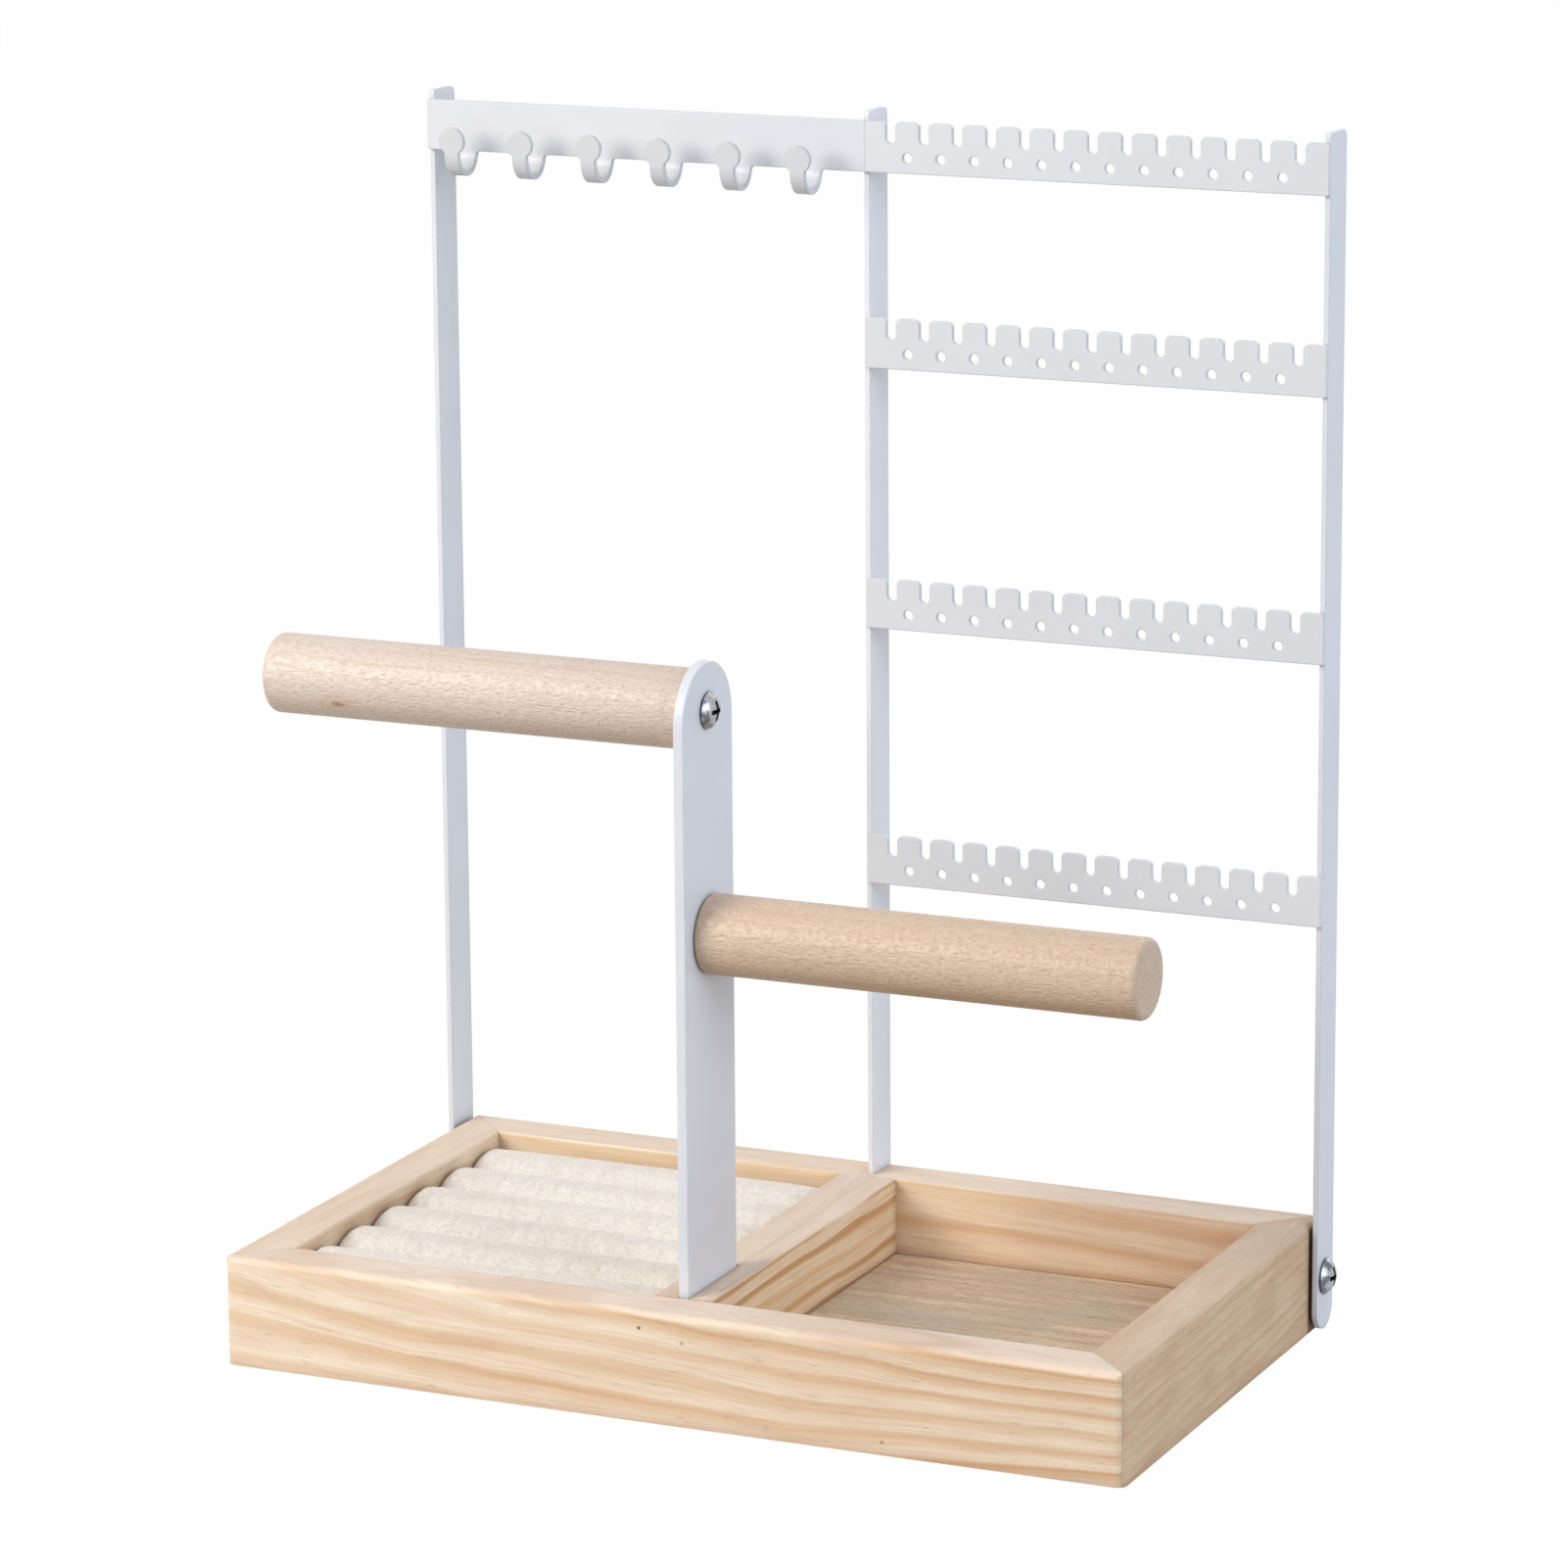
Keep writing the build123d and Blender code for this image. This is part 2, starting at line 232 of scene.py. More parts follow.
def pineBoard(name, board):
    shader = newShader(name.replace("tray", "pine"))
    x, y, z = shader.place()
    look = pineLook
    run, across = ((x, y), (y, x))[board["along"]]
    seed = board["seed"]
    slow = shader.cloud(run * 0.006 + seed, across * 0.03, z * 0.03) - 0.5
    ripple = shader.cloud(run * 0.022, across * 0.07 + seed, z * 0.07) - 0.5
    slope, bend = board["drift"]
    pull, pullHeight = board["gather"]
    heartAcross, heartUp = board["heart"]
    side = across - heartAcross
    rise = (z - pullHeight) * (run * pull + 1) + (pullHeight - heartUp)
    rise = rise + run * slope + run * run * bend + slow * look["sway"] + ripple * look["ripple"]
    radius = (side * side + rise * rise) ** 0.5
    ringPlace = (radius / board["ring"]).fraction()
    late = shader.ramp(ringPlace, ((0.0, 0.1), (0.28, 0.05), (0.6, 0.7), (0.8, 1.0), (0.9, 0.8),
                                   (1.0, 0.1)))
    strength = shader.cloud(radius * 0.11, run * 0.004, seed).within(0.3, 0.6)
    thin = abs((radius / (board["ring"] * look["thinRing"]) + ripple * 0.6).fraction() - 0.5) * 2
    if "crisp" in board:
        late = late.within(*board["crisp"])
    facing = shader.node("SeparateXYZ", {}, {0: shader.node("TexCoord", {}, {}, "Normal")}, 2)
    onTop = facing.within(0.4, 1.0)
    if "plainTop" in board:
        late = late * (1 - onTop * board["plainTop"])
    late = late * (strength * 0.8 + 0.2) * (thin * 0.22 + 0.85) * board["streak"]
    fibre = shader.cloud(run * 0.03, radius * 1.5 + seed, side * 0.15, 3.0, 0.6)
    threads = shader.cloud(run * 0.07, across * 4.5, z * 4.5 + seed, 1.0)
    fleck = shader.cloud(run * 0.25 + seed, across * 1.5, z * 1.5, 0.0).within(0.76, 0.86)
    broad = shader.cloud(run * 0.012, across * 0.06, z * 0.06 + seed).within(0.3, 0.75)
    blotch = shader.cloud(run * 0.05, across * 0.22, z * 0.22 + seed, 3.0, 0.6).within(0.4, 0.7)
    # painted shade: the board's tone darkens towards its right end, and its top takes a fixed share of
    # the darker tone
    tone = (*board["tone"], 1)
    if "paintedFarShade" in board:
        share = run.within(-halfWidth, halfWidth) * (1 - onTop) + onTop * look["paintedTopShadeShare"]
        tone = shader.blend(share, tone, (*board["paintedFarShade"], 1))
    colour = shader.blend(broad * look["broadShare"], look["pale"], look["warm"])
    colour = shader.blend(late.least(1.0), colour, look["warm"])
    colour = shader.blend((late - 0.85).most(0.0).least(0.8), colour, look["deep"])
    colour = shader.blend(blotch * board.get("blotch", look["blotch"]), colour, look["fibreShade"])
    colour = shader.blend(fibre.within(0.46, 0.68) * look["fibreShare"], colour, look["fibreShade"])
    colour = shader.blend(threads.within(0.5, 0.75) * look["threadShare"], colour, look["fibreShade"])
    # painted sheen: the top faces are blended towards a paler, greyer colour
    colour = shader.blend(onTop * look["paintedTopSheenShare"], colour, board.get("paintedTopSheen", look["paintedTopSheen"]))
    colour = shader.blend(fleck * look["fleckShare"], colour, look["fleckShade"])
    mitre = abs((abs(x) - halfWidth) - (abs(y) - halfDepth))
    joint = 1 - mitre.within(0.0, look["glueWidth"])
    colour = shader.blend(joint * look["glueShare"], colour, look["glueShade"])
    if "resin" in board:
        resinX, resinUp = board["resin"]
        reach = ((x - resinX) ** 2 + (z - resinUp) ** 2) ** 0.5
        spot = (1 - reach.within(0.3, 0.8)) * look["resinShare"]
        colour = shader.blend(spot, colour, look["fleckShade"])
    # painted shadow: the outer face of the side rails darkens where it runs into the gap behind the
    # uprights
    if board["along"] == 1 and name != "tray_divider":
        outside = abs(x).within(halfWidth - 0.4, halfWidth - 0.1)
        behind = y.within(gapStart - 0.3, gapStart + 0.2) * outside
        colour = shader.blend(behind * look["paintedGapShadowShare"], colour, look["paintedGapShadow"])
    # painted shade: darker in inner corners and where other parts come close
    corner = 1 - shader.openness(look["paintedCornerWidth"]).within(0.3, 0.95)
    colour = shader.blend(corner * look["paintedCornerShare"], colour, look["paintedCornerShade"])
    colour = shader.blend(1.0, colour, tone, "MULTIPLY")
    height = fibre * 0.6 + threads * 0.4 - late * 0.3 - joint
    return shader.surface({
        "Base Color": colour,
        "Roughness": fibre * 0.18 + (look["roughness"] - 0.05),
        "Normal": shader.bump(height, look["grainDepth"]),
    })


for name, board in pineBoards.items():
    finish([name], pineBoard(name, board))
print("tray dressed in pine")


# Plywood floor

plyLook = {
    "face": paint(240, 215, 184),
    "streak": paint(172, 140, 106),
    "worn": paint(206, 190, 168),
    "rosy": paint(170, 136, 112),
    "pore": paint(126, 100, 74),
    "edgeDustAndShade": paint(96, 68, 46),
    "edgeWidth": 1.6 * mm,
    "roughness": 0.62,
    "grainDepth": 0.05 * mm,
    "sway": 9.0,
    "bandShare": 0.75,
    "stainShare": 0.7,
    "grainShare": 0.5,
    "speckShare": 0.35,
    "poreShare": 0.55,
    "dustAndShadeShare": 0.85,
}


def plywoodFace():
    shader = newShader("plywood_face")
    x, y, z = shader.place()
    look = plyLook
    sway = shader.cloud(x * 0.01, y * 0.03, 4.0) * look["sway"]
    bands = shader.cloud(x * 0.012, (y + sway) * 0.22, 9.0, 3.0, 0.6).within(0.36, 0.7)
    grain = shader.cloud(x * 0.16, y * 1.7, z * 1.7, 3.0, 0.7)
    speck = shader.cloud(x * 0.9, y * 1.3, 6.0, 2.0, 0.7)
    pores = shader.cloud(x * 0.22, y * 3.4, 2.0, 0.0).within(0.66, 0.76)
    stain = shader.cloud(x * 0.022 + 3.0, y * 0.045, 5.0, 3.0, 0.6).within(0.42, 0.6)
    colour = shader.blend(bands * look["bandShare"], look["face"], look["streak"])
    colour = shader.blend(stain * look["stainShare"], colour, look["worn"])
    colour = shader.blend(grain.within(0.42, 0.66) * look["grainShare"], colour, look["streak"])
    colour = shader.blend(speck.within(0.46, 0.66) * look["speckShare"], colour, look["rosy"])
    colour = shader.blend(pores * look["poreShare"], colour, look["pore"])
    # partly dust, partly painted shade: darker where the floor meets the walls, broken up by the grain
    dustAndShade = 1 - shader.openness(look["edgeWidth"]).within(0.5, 0.92)
    dustAndShade = dustAndShade * (grain + 0.35).least(look["dustAndShadeShare"])
    colour = shader.blend(dustAndShade, colour, look["edgeDustAndShade"])
    return shader.surface({
        "Base Color": colour,
        "Roughness": grain * 0.15 + look["roughness"],
        "Normal": shader.bump(grain - pores * 0.5, look["grainDepth"]),
    })


finish(["tray_floor_panel"], plywoodFace())
print("floor panel dressed in plywood")


# Beech dowels

beechLook = {
    "ground": paint(220, 203, 187),
    "rosy": paint(196, 172, 150),
    "fleckShade": paint(182, 150, 122),
    "endShade": paint(212, 192, 178),
    "paintedUnderShade": paint(184, 152, 112),
    "knotShade": paint(150, 104, 56),
    "knotHalo": paint(206, 164, 118),
    "roughness": 0.27,
    "grainDepth": 0.34 * mm,
    "ring": 4.2,
    "bow": 14.0,
    "ringShare": 0.5,
    "fleckShare": 0.16,
    "speckShare": 0.5,
    "endShare": 0.4,
    "paintedUnderFrom": (-10.5, -1.5),
    "paintedUnderShare": 0.5,
    "haloShare": 0.5,
    "knotShare": 0.8,
    "knotStretch": 2.4,
}

# knot is its distance along the dowel and its height on the front, from the dowel's middle
dowels = {
    "upper_dowel": {"seed": 5.0, "tone": (1.03, 1.05, 1.08), "paintedFarShade": (0.96, 0.95, 0.96),
                    "knot": (-107.0, -5.4)},
    "lower_dowel": {"seed": 71.0, "tone": (0.95, 0.85, 0.75), "paintedFarShade": (0.92, 0.82, 0.72),
                    "knot": None},
}


def beechDowel(name, dowel):
    shader = newShader(name.replace("dowel", "beech"))
    x, y, z = shader.place()
    low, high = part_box(name)
    middle = (low + high) / 2 / mm
    seed = dowel["seed"]
    look = beechLook
    across, up = y - middle.y, z - middle.z
    bow = shader.cloud(x * 0.008 + seed, across * 0.02, up * 0.02) * look["bow"]
    rings = ((across * 0.4 + up + bow + x * 0.03) / look["ring"]).fraction()
    rings = shader.ramp(rings, ((0.0, 0.1), (0.5, 0.3), (0.85, 1.0), (1.0, 0.1)))
    fade = shader.cloud(x * 0.02, across * 0.1, up * 0.1 + seed).within(0.35, 0.7)
    flecks = shader.cloud(x * 0.45 + seed, across * 1.6, up * 1.6, 1.0).within(0.5, 0.75)
    speck = shader.cloud(x * 0.7, across * 0.95, up * 0.95 + seed, 3.0, 0.6)
    outer = (high.x if high.x > -low.x else low.x) / mm
    onEnd = 1 - abs(x - outer).within(0.02, 0.08)
    colour = shader.blend(rings * fade * look["ringShare"], look["ground"], look["rosy"])
    colour = shader.blend(flecks * look["fleckShare"], colour, look["fleckShade"])
    colour = shader.blend(speck.within(0.42, 0.68) * look["speckShare"], colour, look["rosy"])
    endSpeck = speck.within(0.4, 0.75) * look["endShare"]
    endGrain = shader.blend(endSpeck, look["endShade"], look["fleckShade"])
    colour = shader.blend(onEnd, colour, endGrain)
    if dowel["knot"]:
        knotX, knotUp = dowel["knot"]
        facing = 1 - across.within(-4.0, -2.0)
        reach = (((x - knotX) / look["knotStretch"]) ** 2 + (up - knotUp) ** 2) ** 0.5
        reach = reach + (speck - 0.5) * 0.8
        halo = (1 - reach.within(0.3, 3.4)) * facing * look["haloShare"]
        colour = shader.blend(halo, colour, look["knotHalo"])
        knot = (1 - reach.within(0.25, 1.1)) * facing * look["knotShare"]
        colour = shader.blend(knot, colour, look["knotShade"])
    under = 1 - up.within(*look["paintedUnderFrom"])  # painted shade, darker and warmer underneath
    colour = shader.blend(under * (1 - onEnd) * look["paintedUnderShare"], colour, look["paintedUnderShade"])
    # painted shade: the dowel's tone darkens towards its right end
    along = x.within(low.x / mm, high.x / mm)
    tone = shader.blend(along, (*dowel["tone"], 1), (*dowel["paintedFarShade"], 1))
    colour = shader.blend(1.0, colour, tone, "MULTIPLY")
    height = speck * 0.7 - flecks * 0.4 + rings * 0.1
    return shader.surface({
        "Base Color": colour,
        "Roughness": speck * 0.2 + look["roughness"],
        "Normal": shader.bump(height, look["grainDepth"]),
    })


for name, dowel in dowels.items():
    finish([name], beechDowel(name, dowel))
print("dowels dressed in beech")


# White powder coat

coatLook = {
    "paintedHookShade": paint(203, 203, 205),
    "paintedCreaseShade": paint(176, 178, 186),
    "paintedCreaseWidth": 2.2 * mm,
    "roughness": 0.42,
    "peelDepth": 0.012 * mm,
    "edgeRound": 0.55 * mm,
    "paintedHookShare": 0.9,
    "paintedCreaseShare": 0.5,
}

# one paint in lighter and darker copies from piece to piece, painted light and shade for how each
# piece is lit
litAndShadedCoats = {
    "powder_coat": {"on": ("left_upright", "right_upright", "stand_post"),
                    "shade": paint(222, 223, 227), "lowShade": paint(217, 218, 223)},
    "middle_coat": {"on": ("middle_upright",),
                    "shade": paint(231, 231, 235), "lowShade": paint(226, 226, 231)},
    "strip_coat": {"on": ("earring_rail_1", "earring_rail_2", "earring_rail_3"),
                   "shade": paint(217, 217, 219), "lowShade": paint(213, 213, 216)},
    "low_strip_coat": {"on": ("earring_rail_4",),
                       "shade": paint(225, 225, 226), "lowShade": paint(221, 221, 223)},
    "hook_coat": {"on": ("hook_rail",),
                  "shade": paint(219, 219, 222), "lowShade": paint(214, 214, 218)},
}


def powderCoat(name, coat):
    shader = newShader(name)
    x, y, z = shader.place()
    look = coatLook
    peel = shader.cloud(x * 1.6, y * 1.6, z * 1.6, 2.0)
    grit = shader.cloud(x * 6, y * 6, z * 6, 1.0)
    patches = shader.cloud(x * 0.03, y * 0.03, z * 0.03)
    edge = shader.node("Bevel", {"samples": 6}, {"Radius": look["edgeRound"]})
    colour = shader.blend(patches.within(0.3, 0.7), coat["shade"], coat["lowShade"])
    if name == "hook_coat":  # painted shade, the hooks standing in front of their rail are made greyer
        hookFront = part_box("earring_rail_1")[0].y / mm
        shadedHook = 1 - y.within(hookFront - 0.6, hookFront - 0.2)
        colour = shader.blend(shadedHook * look["paintedHookShare"], colour, look["paintedHookShade"])
    # painted shade in creases and where parts meet
    crease = 1 - shader.openness(look["paintedCreaseWidth"]).within(0.35, 0.95)
    colour = shader.blend(crease * look["paintedCreaseShare"], colour, look["paintedCreaseShade"])
    return shader.surface({
        "Base Color": colour,
        "Roughness": grit * 0.12 + patches * 0.06 + (look["roughness"] - 0.09),
        "Normal": shader.bump(peel + grit * 0.3, look["peelDepth"], edge),
    })


for name, coat in litAndShadedCoats.items():
    finish(coat["on"], powderCoat(name, coat))
print("frame and post dressed in powder coat")


# Steel screws and pins

steelLook = {
    "bright": paint(168, 170, 176),
    "dull": paint(112, 114, 118),
    "dark": paint(60, 60, 64),
    "roughness": 0.31,
    "scratchDepth": 0.002 * mm,
    "hollow": 1.3 * mm,
}


def screwSteel():
    shader = newShader("screw_steel")
    x, y, z = shader.place()
    look = steelLook
    smear = shader.cloud(x * 0.35, y * 0.35, z * 0.35, 1.0)
    scratch = shader.cloud(x * 2, y * 5, z * 2, 1.0)
    colour = shader.blend(smear.within(0.44, 0.56), look["bright"], look["dull"])
    # painted shade: dark in the cross recess and where the head meets the part
    recessShadow = 1 - shader.openness(look["hollow"]).within(0.45, 0.95)
    colour = shader.blend(recessShadow, colour, look["dark"])
    return shader.surface({
        "Base Color": colour,
        "Metallic": 1.0,
        "Roughness": smear * 0.14 + (look["roughness"] - 0.06),
        "Normal": shader.bump(scratch, look["scratchDepth"]),
    })


pinLook = {
    "steel": paint(160, 136, 116),
    "rust": paint(120, 92, 70),
    "filler": paint(212, 188, 158),
    "fillerShare": 0.85,
    "metallic": 0.3,
    "roughness": 0.6,
    "pitDepth": 0.03 * mm,
}


def pinSteel():
    shader = newShader("pin_steel")
    x, y, z = shader.place()
    look = pinLook
    spots = shader.cloud(x * 2.2, y * 2.2, z * 2.2, 2.0)
    filled = x.within(-1.0, 1.0) * look["fillerShare"]  # the right pins lie under a dab of wood filler
    colour = shader.blend(spots.within(0.4, 0.6), look["steel"], look["rust"])
    return shader.surface({
        "Base Color": shader.blend(filled, colour, look["filler"]),
        "Metallic": look["metallic"],
        "Roughness": spots * 0.3 + look["roughness"],
        "Normal": shader.bump(spots, look["pitDepth"]),
    })


finish([name for name in nodes if name.endswith("screw")], screwSteel())
finish(["divider_pins"], pinSteel())
print("screws and pins dressed in steel")


# Ring pad

boardLook = {
    "shade": paint(214, 206, 194),
    "fibre": paint(176, 164, 148),
    "roughness": 0.85,
    "feltDepth": 0.1 * mm,
}
velvetLook = {
    "pile": paint(235, 226, 216),
    "hollow": paint(184, 172, 157),
    "paintedGlint": paint(253, 249, 243),
    "roughness": 0.85,
    "sheen": 0.5,
    "sheenRoughness": 0.4,
    "sheenTint": (1.0, 0.9, 0.79, 1),
    "pileDepth": 0.5 * mm,
    "sway": 16.0,
    "brushShare": 0.22,
    "pileShare": 0.38,
    "paintedGlintShare": 0.4,
}
cushionLook = {
    "crownRise": 3.6,
    "baseDraw": 0.9,
    "endRun": 2.6,
    "endNarrowing": 0.13,
    "slack": 0.1,
    "middleHeight": 0.45,
    "capRings": (0.2, 0.45, 0.7),
    "roundSteps": 26,
    "longSteps": 56,
    "wallSteps": 6,
    "endSteps": 5,
    "softness": 0.14,
    "unevenness": 0.11,
    "rollShift": 7.3,
    "stillFoot": 2.0,
    "gluedFoot": 1.2,
    "grow": 10.0,
    "quality": 5,
    "mass": 0.3,
    "pressure": 4.0,
    "settling": 20,
    "mostPuff": 0.35,
    "fill": 0.85,
}


def padBoard():
    shader = newShader("pad_board")
    x, y, z = shader.place()
    look = boardLook
    felt = shader.cloud(x * 1.2, y * 1.2, z * 1.2, 4.0, 0.7)
    return shader.surface({
        "Base Color": shader.blend(felt.within(0.35, 0.7), look["shade"], look["fibre"]),
        "Roughness": felt * 0.1 + look["roughness"],
        "Normal": shader.bump(felt, look["feltDepth"]),
    })


def velvet():
    shader = newShader("velvet")
    x, y, z = shader.place()
    look = velvetLook
    swayX = shader.cloud(x * 0.05, y * 0.05, 3.0) * look["sway"]
    swayY = shader.cloud(x * 0.05, y * 0.05, 8.0) * look["sway"]
    brushed = shader.cloud((x + swayX) * 0.32, (y + swayY) * 0.09, z * 0.1, 2.0, 0.55)
    pile = shader.cloud(x * 0.8, y * 0.8, z * 0.8, 3.0, 0.8)
    # painted glints: sparse bright specks in the pile
    paintedGlints = shader.cloud(x * 1.5, y * 1.5, z * 1.5, 0.0).within(0.64, 0.72)
    strokes = brushed.within(0.42, 0.7) * look["brushShare"]
    colour = shader.blend(strokes, look["pile"], look["hollow"])
    colour = shader.blend(pile.within(0.47, 0.66) * look["pileShare"], colour, look["hollow"])
    colour = shader.blend(paintedGlints * look["paintedGlintShare"], colour, look["paintedGlint"])
    return shader.surface({
        "Base Color": colour,
        "Roughness": pile * 0.15 + (look["roughness"] - 0.05),
        "Sheen Weight": look["sheen"],
        "Sheen Roughness": look["sheenRoughness"],
        "Sheen Tint": look["sheenTint"],
        "Normal": shader.bump(pile + brushed * 0.6, look["pileDepth"]),
    })


def rollOutline(width, height):  # a drawn-in foot, straight sides and a round crown
    look = cushionLook
    side = width / 2
    foot = side - look["baseDraw"]
    rise = look["crownRise"]
    radius = (side * side + rise * rise) / (2 * rise)
    start = asin((radius - rise) / radius)
    steps = look["roundSteps"]
    points = []
    for step in range(steps + 1):
        angle = start + (pi - 2 * start) * step / steps
        points.append((radius * cos(angle), height - radius + radius * sin(angle)))
    sideTop = height - rise
    walls = look["wallSteps"]
    points += [(-side + (side - foot) * step / walls, sideTop * (1 - step / walls))
               for step in range(1, walls + 1)]
    points += [(-foot + 2 * foot * step / walls, 0.0) for step in range(1, walls)]
    points += [(foot + (side - foot) * step / walls, sideTop * step / walls)
               for step in range(walls)]
    return points


def rollStations(length):  # distance from one end, and the outline's size there
    look = cushionLook
    ends = [(0.0, share) for share in look["capRings"]]
    quarter = look["endSteps"]
    for step in range(quarter + 1):
        angle = pi / 2 * step / quarter
        share = 1 - look["endNarrowing"] * (1 - sin(angle))
        ends.append((look["endRun"] * (1 - cos(angle)), share))
    straight = length - 2 * look["endRun"]
    middles = [(look["endRun"] + straight * step / look["longSteps"], 1.0)
               for step in range(1, look["longSteps"])]
    return ends + middles + [(length - run, share) for run, share in reversed(ends)]


def softRoll(name, low, high, place):
    look = cushionLook
    slack = look["slack"]
    size = (high - low) / mm
    outline = rollOutline(size.y - 2 * slack, size.z - slack)
    middle = Vector((0, (low.y + high.y) / 2, low.z))
    mesh = bmesh.new()
    rings = []
    for run, share in rollStations(size.x - 2 * slack):
        ring = []
        for across, up in outline:
            centreUp = size.z * look["middleHeight"]
            point = Vector((run + slack, across * share, centreUp + (up - centreUp) * share)) * mm
            ring.append(mesh.verts.new(point + middle + Vector((low.x, 0, 0))))
        rings.append(ring)
    count = len(outline)
    for first, second in zip(rings, rings[1:]):
        for step in range(count):
            after = (step + 1) % count
            mesh.faces.new((first[step], first[after], second[after], second[step]))
    mesh.faces.new(list(reversed(rings[0])))
    mesh.faces.new(rings[-1])
    bmesh.ops.recalc_face_normals(mesh, faces=mesh.faces)
    bmesh.ops.triangulate(mesh, faces=[face for face in mesh.faces if len(face.verts) > 4])
    data = bpy.data.meshes.new(name)
    mesh.to_mesh(data)
    mesh.free()
    roll = bpy.data.objects.new(name, data)
    bpy.context.scene.collection.objects.link(roll)
    puffUp(roll, low)
    for vertex in data.vertices:  # foam is never quite even under its cover
        spot = vertex.co / mm * look["unevenness"] + Vector((place * look["rollShift"], 0, 0))
        lift = noise.noise(spot) * look["softness"] * mm
        if vertex.co.z - low.z > look["stillFoot"] * mm:
            vertex.co.z = min(vertex.co.z + lift, high.z)
    for face in data.polygons:
        face.use_smooth = True
    return roll


def puffUp(roll, low):  # the cover is blown up at the size of a seat pad, then brought back
    look = cushionLook
    grow = look["grow"]
    data = roll.data
    boardLow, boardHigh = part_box("ring_pad_board")
    anchor = (boardLow + boardHigh) / 2
    start = [vertex.co.copy() for vertex in data.vertices]
    glueTop = low.z + look["gluedFoot"] * mm
    pinned = [vertex.index for vertex in data.vertices if vertex.co.z < glueTop]
    roll.vertex_groups.new(name="glued").add(pinned, 1.0, "REPLACE")
    for vertex in data.vertices:
        vertex.co = (vertex.co - anchor) * grow
    cloth = roll.modifiers.new("cover", "CLOTH")
    cloth.settings.quality = look["quality"]
    cloth.settings.mass = look["mass"]
    cloth.settings.use_pressure = True
    cloth.settings.uniform_pressure_force = look["pressure"]
    cloth.settings.effector_weights.gravity = 0
    cloth.settings.vertex_group_mass = "glued"
    cloth.collision_settings.use_collision = False
    for step in range(1, look["settling"] + 1):
        bpy.context.scene.frame_set(step)
    shaped = roll.evaluated_get(bpy.context.evaluated_depsgraph_get())
    ends = [vertex.co / grow + anchor for vertex in shaped.data.vertices]
    roll.modifiers.remove(cloth)
    roll.vertex_groups.clear()
    most = look["mostPuff"] * mm
    for vertex, old, new in zip(data.vertices, start, ends):
        move = new - old
        if move.length > most:
            move *= most / move.length
        vertex.co = old + move
    bpy.context.scene.frame_set(1)


finish(["ring_pad_board"], padBoard())
velvetCover = velvet()
rollNames = sorted(name for name in nodes if name.startswith("ring_roll"))
for place, name in enumerate(rollNames):
    roll = softRoll(name.replace("roll", "cushion"), *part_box(name), place)
    roll.data.materials.append(velvetCover)
    smoother = roll.modifiers.new("smoother", "SUBSURF")
    smoother.levels = smoother.render_levels = 1
    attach(roll, "ring_pad")
    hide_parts(name)
print("ring pad made of", len(rollNames), "soft rolls")


# Studio

floorLook = {"shade": (0.42, 0.42, 0.42, 1), "glow": 1.04, "whiteShare": 0.94, "size": 24.0}
worldLook = {"light": (0.92, 0.97, 1.06, 1), "level": 0.42}
lamps = {
    "key": {"place": (-0.9, -1.12, 0.9), "size": 0.9, "power": 21.2, "shade": (1.0, 0.97, 0.92)},
    "top": {"place": (0.0, 0.2, 1.8), "size": 1.4, "power": 2.5, "shade": (1.0, 0.98, 0.95)},
    "back": {"place": (0.2, 1.8, 1.0), "size": 1.3, "power": 8.0, "shade": (1.0, 0.98, 0.96)},
    "fill": {"place": (1.9, -0.6, 0.8), "size": 1.2, "power": 21.0, "shade": (0.76, 0.87, 1.0)},
}
lampAim = Vector((0, 0, 0.12))


def seenWhite(shader):  # 1 for what the camera, a gloss or a glass sees
    kinds = ("Is Camera Ray", "Is Glossy Ray", "Is Transmission Ray")
    seen = [shader.node("LightPath", {}, {}, kind) for kind in kinds]
    return seen[0].most(seen[1]).most(seen[2])


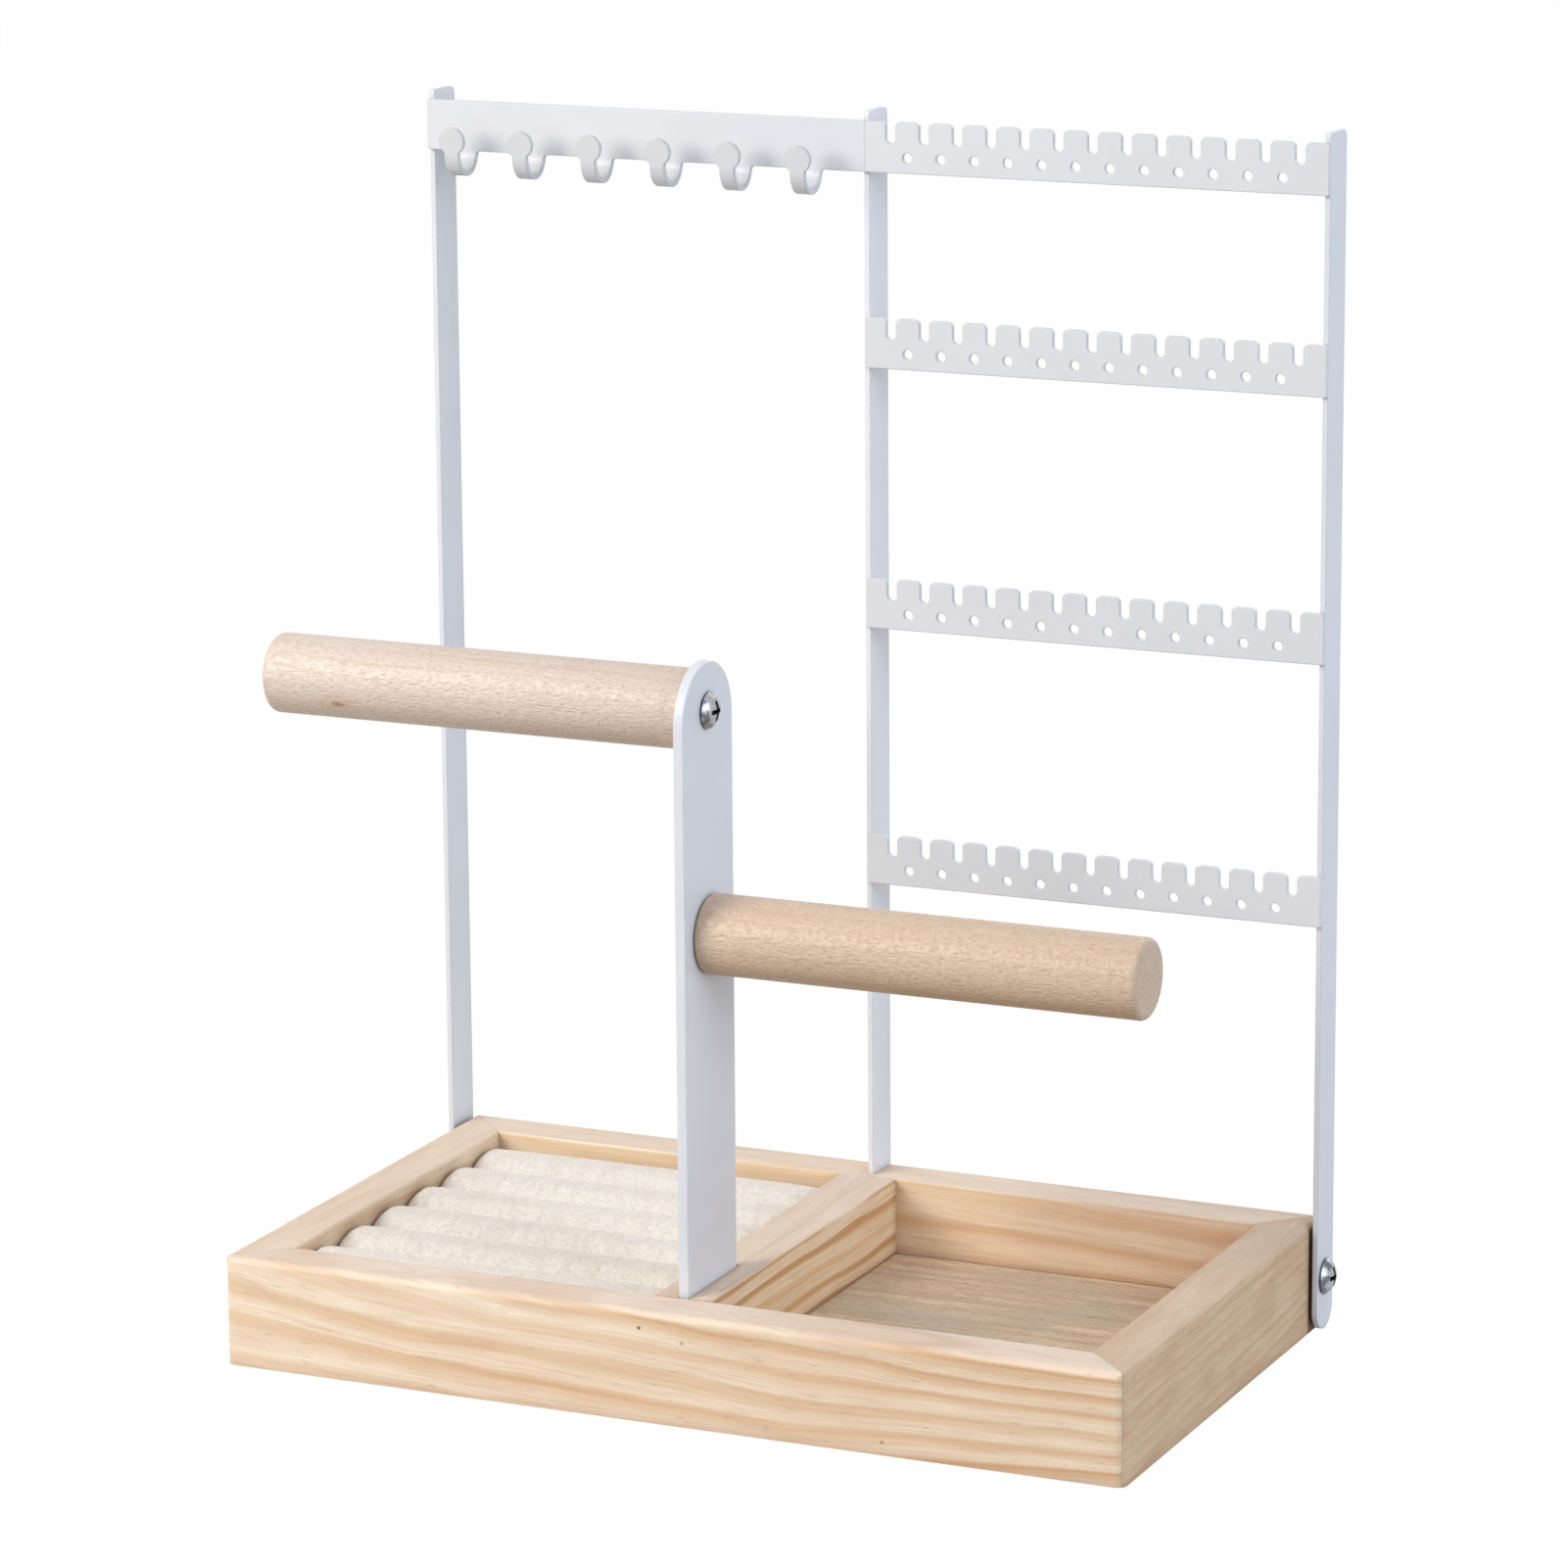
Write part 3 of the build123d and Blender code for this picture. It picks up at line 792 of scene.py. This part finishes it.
def paleFloor():
    reach = floorLook["size"] / 2
    data = bpy.data.meshes.new("floor")
    corners = [(-reach, -reach, 0), (reach, -reach, 0), (reach, reach, 0), (-reach, reach, 0)]
    data.from_pydata(corners, [], [(0, 1, 2, 3)])
    floor = bpy.data.objects.new("floor", data)
    bpy.context.scene.collection.objects.link(floor)
    shader = newShader("pale_floor")
    matt = shader.node("BsdfDiffuse", {}, {"Color": floorLook["shade"]})
    white = shader.node("Emission", {}, {"Strength": floorLook["glow"]})
    share = seenWhite(shader) * floorLook["whiteShare"]
    mixed = shader.node("MixShader", {}, {0: share, 1: matt, 2: white})
    shader.node("OutputMaterial", {}, {"Surface": mixed})
    data.materials.append(shader.owner)


def softWorld():
    world = bpy.data.worlds.new("studio")
    bpy.context.scene.world = world
    shader = Shader(world)
    soft = shader.node("Background", {}, {0: worldLook["light"], 1: worldLook["level"]})
    white = shader.node("Background", {}, {0: (1, 1, 1, 1), 1: 1.0})
    mixed = shader.node("MixShader", {}, {0: seenWhite(shader), 1: soft, 2: white})
    shader.node("OutputWorld", {}, {"Surface": mixed})


def softLamp(name, lamp):
    light = bpy.data.lights.new(name, "AREA")
    light.size = lamp["size"]
    light.energy = lamp["power"]
    light.color = lamp["shade"]
    holder = bpy.data.objects.new(name, light)
    bpy.context.scene.collection.objects.link(holder)
    holder.location = lamp["place"]
    aim = lampAim - holder.location
    holder.rotation_euler = aim.to_track_quat("-Z", "Y").to_euler()


# Worked out from the photograph's edges and corners; the picture is square
camera = {
    "place": (0.7250, -1.6017, 0.5714),
    "yaw": 24.273,
    "pitch": 13.059,
    "roll": -0.402,
    "focalPixels": 6589.6,
    "imagePixels": 1601,
    "sensor": 36.0,
    "farthest": 50.0,
}


def photoCamera():
    yaw, pitch, roll = (radians(camera[key]) for key in ("yaw", "pitch", "roll"))
    ahead = Vector((-sin(yaw) * cos(pitch), cos(yaw) * cos(pitch), -sin(pitch)))
    level = ahead.cross(Vector((0, 0, 1))).normalized()
    up = level.cross(ahead)
    right = level * cos(roll) + up * sin(roll)
    up = up * cos(roll) - level * sin(roll)
    data = bpy.data.cameras.new("camera")
    data.sensor_width = camera["sensor"]
    data.lens = camera["focalPixels"] / camera["imagePixels"] * camera["sensor"]
    data.clip_end = camera["farthest"]
    holder = bpy.data.objects.new("camera", data)
    bpy.context.scene.collection.objects.link(holder)
    turn = Matrix((right, up, -ahead)).transposed().to_4x4()
    holder.matrix_world = Matrix.Translation(camera["place"]) @ turn
    bpy.context.scene.camera = holder


paleFloor()
softWorld()
for name, lamp in lamps.items():
    softLamp(name, lamp)
photoCamera()
bpy.context.scene.view_settings.view_transform = "Standard"
print("studio and camera set")
